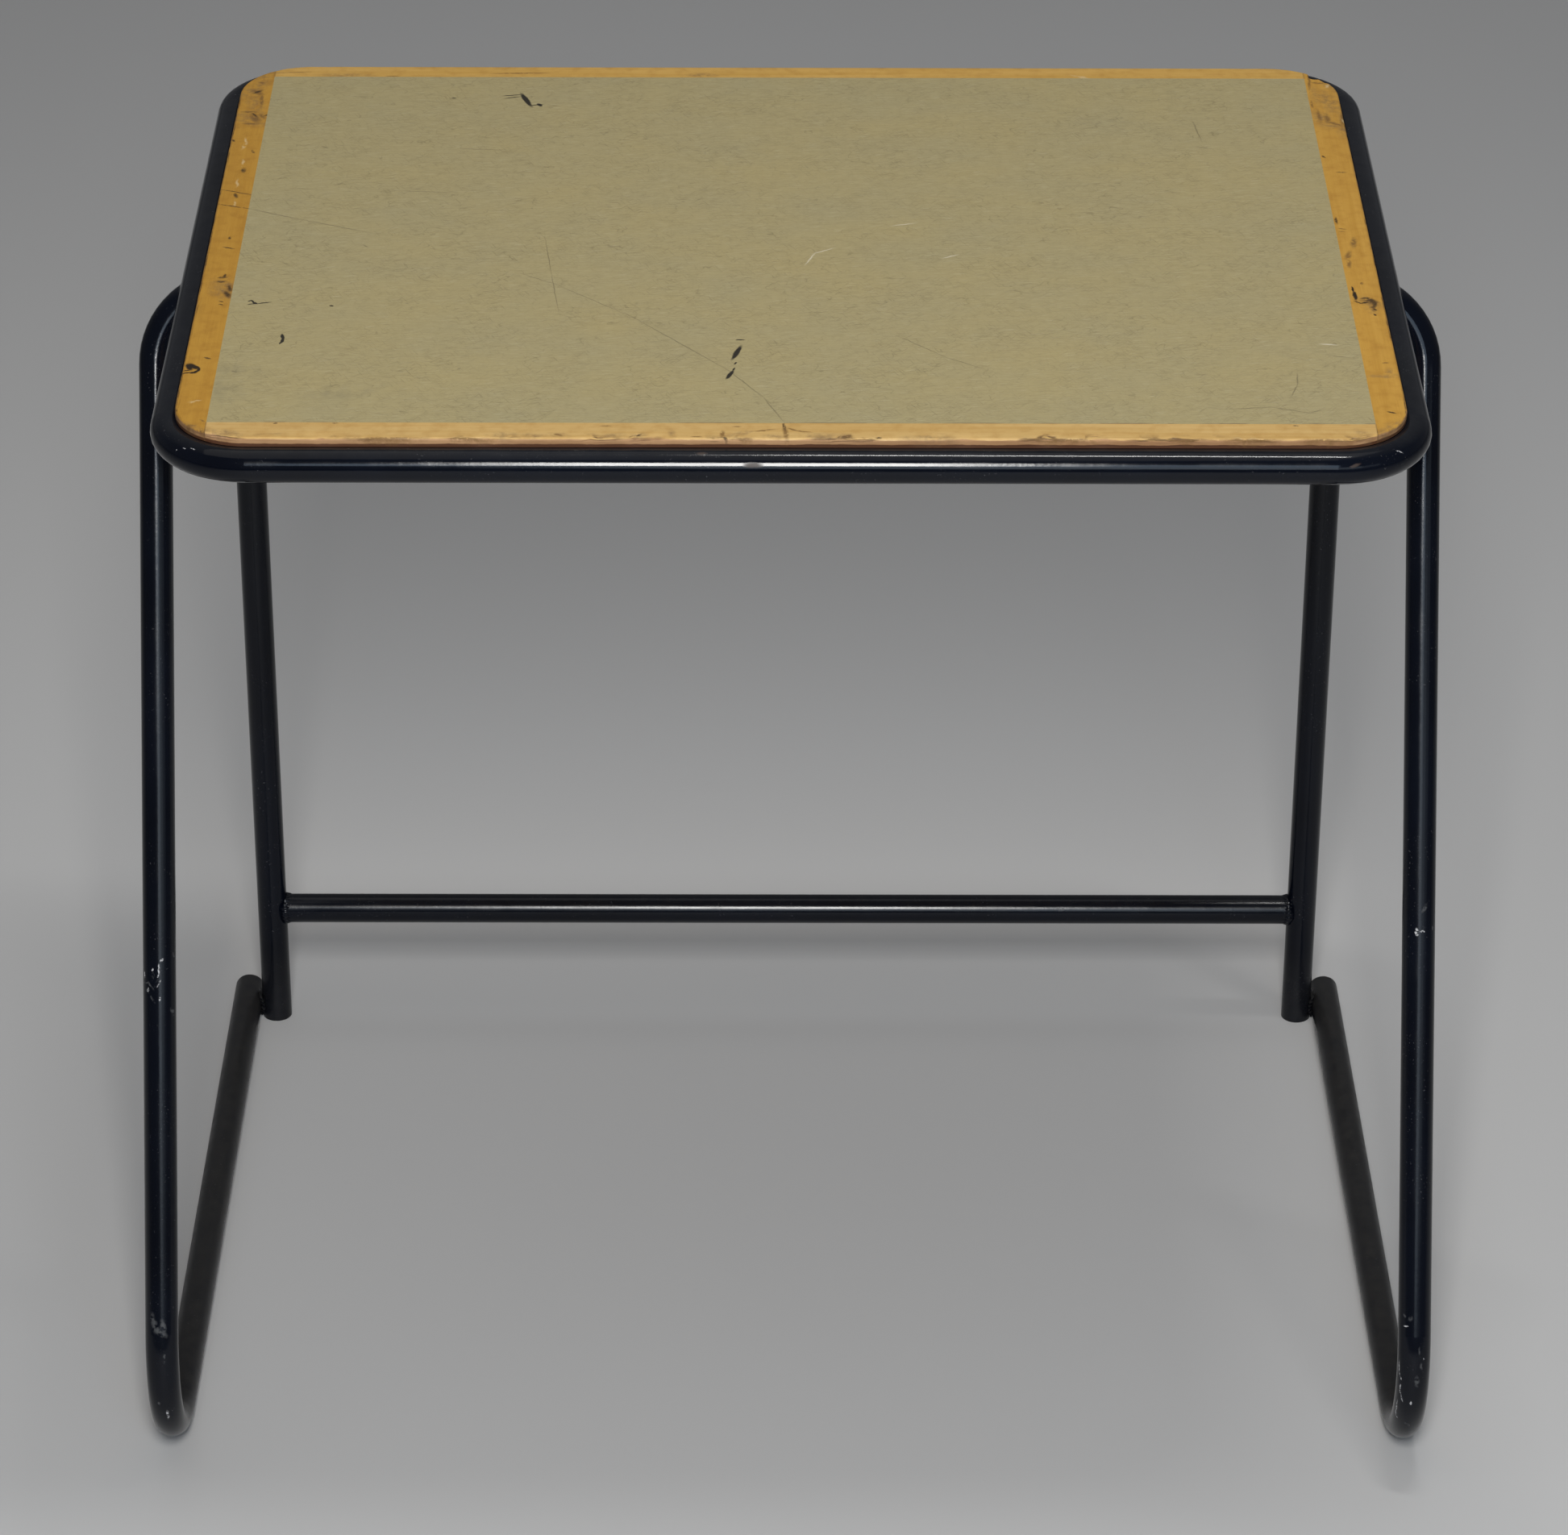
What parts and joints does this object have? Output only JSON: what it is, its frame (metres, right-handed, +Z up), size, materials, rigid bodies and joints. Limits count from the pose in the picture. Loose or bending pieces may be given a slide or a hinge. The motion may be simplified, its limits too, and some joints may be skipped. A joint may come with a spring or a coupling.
{
  "type": "stacking desk",
  "caption": "Stacking school desk: laminate-faced wooden top set in a bent steel tube ring, raked front legs with floor runners, upright rear legs and a low stretcher.",
  "frame": {"origin": "on the floor, midway between the two sides and midway between the foremost and rearmost points", "axes": "+Z up, +X to the user's right, +Y away from the user towards the back"},
  "size_m": [0.746, 0.5786, 0.66],
  "materials": {
    "frame_paint": "worn dark navy gloss enamel",
    "end_plug": "dull black",
    "plywood": "bare birch plywood",
    "laminate": "satin khaki linen laminate, scratched",
    "lipping_wood": "worn honey varnish",
    "screw_steel": "plain steel"
  },
  "bodies": {
    "root": {"top_ring": "frame_paint", "front_leg_left": "frame_paint", "front_leg_right": "frame_paint", "rear_leg_left": "frame_paint", "rear_leg_right": "frame_paint", "stretcher": "frame_paint", "front_leg_welds": "frame_paint", "rear_leg_welds": "frame_paint", "stretcher_welds": "frame_paint", "runner_welds": "frame_paint", "fixing_lugs": "frame_paint", "rear_leg_plugs": "end_plug", "runner_plugs": "end_plug", "board_core": "plywood", "laminate_sheet": "laminate", "fixing_screws": "screw_steel", "lipping_left": "lipping_wood", "lipping_right": "lipping_wood", "lipping_front": "lipping_wood", "lipping_back": "lipping_wood"}
  },
  "joints": []
}
